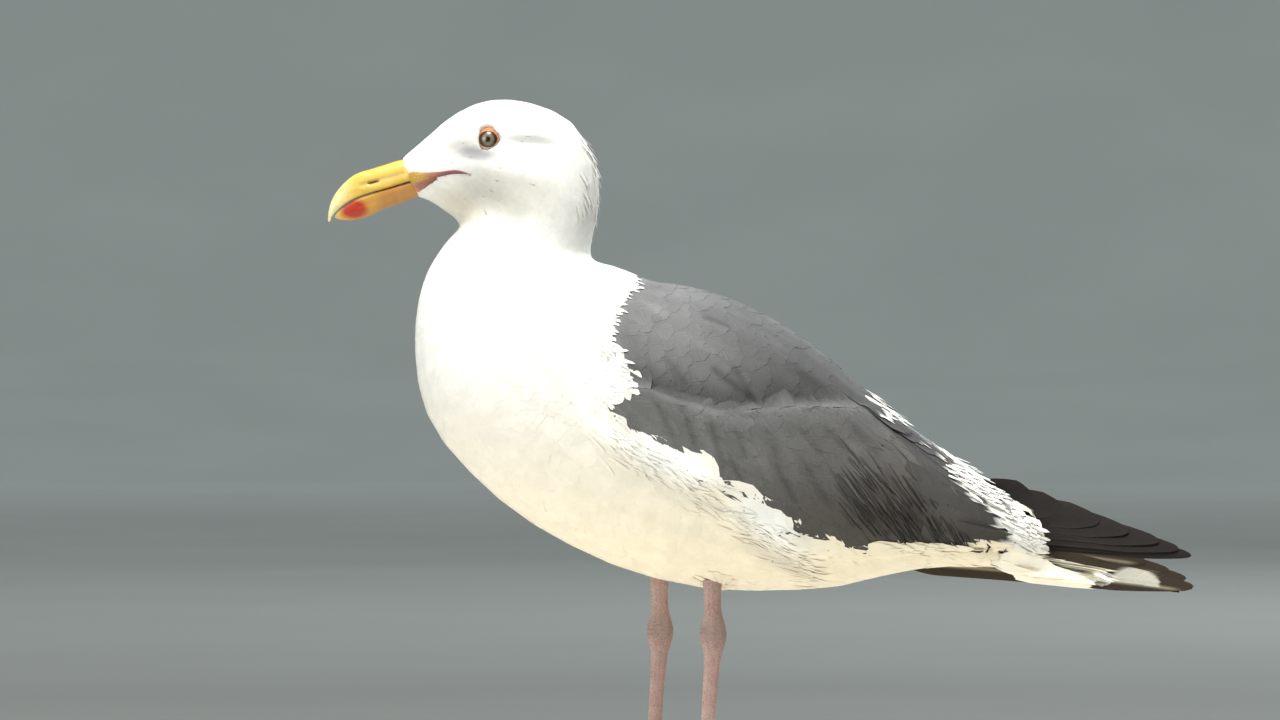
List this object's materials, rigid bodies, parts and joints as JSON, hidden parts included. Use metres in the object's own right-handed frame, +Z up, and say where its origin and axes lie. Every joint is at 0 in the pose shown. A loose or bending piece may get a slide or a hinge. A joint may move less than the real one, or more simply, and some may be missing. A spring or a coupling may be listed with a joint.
{
  "type": "life-size standing gull model",
  "caption": "Life-size still model of an adult western gull standing on webbed feet, bill closed and wings folded, with a white body, dark grey back and dark wing tips.",
  "frame": {"origin": "middle of the bounding box at floor level, under the soles", "axes": "+Z up; -Y the way the bird faces, so +Y runs from bill to wing tips; +X the bird's left"},
  "size_m": [0.143, 0.5012, 0.3776],
  "materials": {
    "white_feathers": "matt overlapping white feathers",
    "grey_feathers": "matt dark slate grey feathers with paler edges",
    "black_feathers": "matt brownish black flight feathers",
    "bill": "satin yellow horn with a red spot near the tip of the lower mandible",
    "eye": "wet, glossy, grey olive iris",
    "bare_skin": "pinkish flesh skin with fine scales",
    "claws": "dark horn"
  },
  "bodies": {
    "root": {"head": "white_feathers", "neck": "white_feathers", "trunk": "white_feathers", "tail": "white_feathers", "bill_upper": "bill", "bill_lower": "bill", "eye_left": "eye", "eye_right": "eye", "wing_left_scapulars": "grey_feathers", "wing_left_coverts": "grey_feathers", "wing_left_primaries": "black_feathers", "wing_right_scapulars": "grey_feathers", "wing_right_coverts": "grey_feathers", "wing_right_primaries": "black_feathers", "leg_left": "bare_skin", "foot_left": "bare_skin", "claw_left_inner": "claws", "claw_left_middle": "claws", "claw_left_outer": "claws", "claw_left_hind": "claws", "leg_right": "bare_skin", "foot_right": "bare_skin", "claw_right_inner": "claws", "claw_right_middle": "claws", "claw_right_outer": "claws", "claw_right_hind": "claws"}
  },
  "joints": []
}
